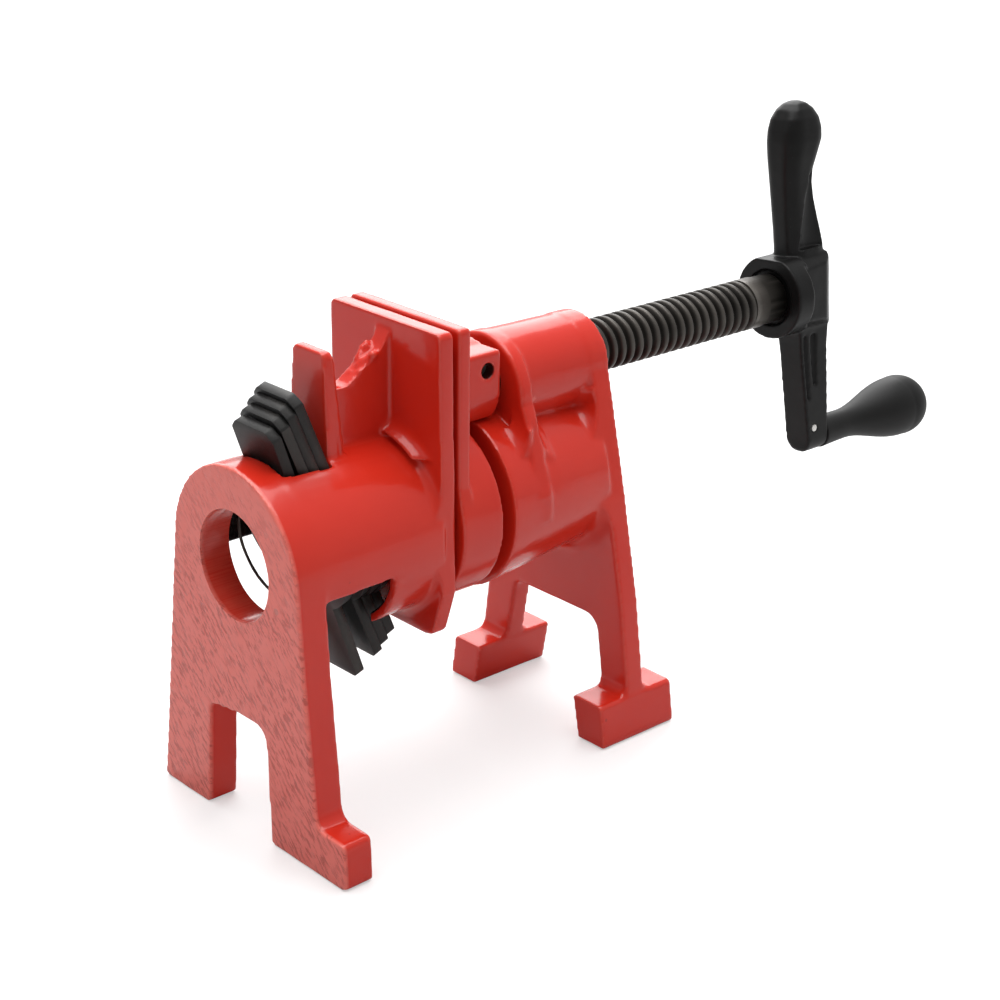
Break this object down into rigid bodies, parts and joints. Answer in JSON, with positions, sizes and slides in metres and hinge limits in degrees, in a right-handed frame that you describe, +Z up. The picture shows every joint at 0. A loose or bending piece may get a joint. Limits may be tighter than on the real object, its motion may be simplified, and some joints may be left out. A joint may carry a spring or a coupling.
{
  "type": "woodworking pipe clamp",
  "caption": "Clamp fixture for threaded pipe: a screw head with sliding jaw and crank, and a tail jaw held by tilting clutch plates; both stand on cast legs.",
  "frame": {"origin": "on the axis of the pipe hole, at the front face of the tail jaw's leg plate", "axes": "+X along the pipe from the tail jaw to the crank, +Y across to the far side, +Z up"},
  "size_m": [0.2511, 0.0745, 0.1528],
  "materials": {
    "red_enamel": "gloss",
    "black_enamel": "gloss",
    "black_steel": "satin",
    "dark_steel": "satin"
  },
  "bodies": {
    "head": {"head": "red_enamel"},
    "sliding_jaw": {"sliding_jaw": "red_enamel", "screw_retaining_pin": "dark_steel"},
    "screw_and_crank": {"screw": "dark_steel", "crank_handle": "black_enamel", "knob_pin": "dark_steel"},
    "knob": {"crank_knob": "black_enamel"},
    "tail": {"tail_jaw": "red_enamel", "clutch_spring": "dark_steel"},
    "plate_1": {"clutch_disc_1": "black_steel"},
    "plate_2": {"clutch_disc_2": "black_steel"},
    "plate_3": {"clutch_disc_3": "black_steel"},
    "plate_4": {"clutch_disc_4": "black_steel"}
  },
  "joints": [
    {"name": "screw_turn", "type": "hinge", "parent": "sliding_jaw", "child": "screw_and_crank", "pos_m": [0, 0, 0.03], "axis": [-1, 0, 0], "range_deg": [-340, 7480]},
    {"name": "jaw_slide", "type": "slide", "parent": "head", "child": "sliding_jaw", "axis": [-1, 0, 0], "range_m": [-0.003, 0.066]},
    {"name": "tail_slide", "type": "slide", "parent": "sliding_jaw", "child": "tail", "axis": [-1, 0, 0], "range_m": [-0.0014, 0.6]},
    {"name": "knob_spin", "type": "hinge", "parent": "screw_and_crank", "child": "knob", "pos_m": [0.2045, -0.00383, -0.01383], "axis": [1, 0, 0], "continuous": true},
    {"name": "plate_1_tilt", "type": "hinge", "parent": "tail", "child": "plate_1", "pos_m": [0.0109, 0, 0.0225], "axis": [0, 1, 0], "range_deg": [0, 15.5], "stiffness_Nm_per_rad": 0.2, "springref_deg": -14.32, "deforming": ["clutch_spring"]},
    {"name": "plate_2_tilt", "type": "hinge", "parent": "tail", "child": "plate_2", "pos_m": [0.01475, 0, 0.0225], "axis": [0, 1, 0], "range_deg": [0, 18]},
    {"name": "plate_3_tilt", "type": "hinge", "parent": "tail", "child": "plate_3", "pos_m": [0.01765, 0, 0.0225], "axis": [0, 1, 0], "range_deg": [0, 18]},
    {"name": "plate_4_tilt", "type": "hinge", "parent": "tail", "child": "plate_4", "pos_m": [0.02055, 0, 0.0225], "axis": [0, 1, 0], "range_deg": [0, 18]}
  ],
  "couplings": [
    {"joint": "jaw_slide", "follows": "screw_turn", "m_per_rad": 0.00050532},
    {"joint": "plate_2_tilt", "follows": "plate_1_tilt", "ratio": 1.1613},
    {"joint": "plate_3_tilt", "follows": "plate_1_tilt", "ratio": 1.1613},
    {"joint": "plate_4_tilt", "follows": "plate_1_tilt", "ratio": 1.1613}
  ]
}
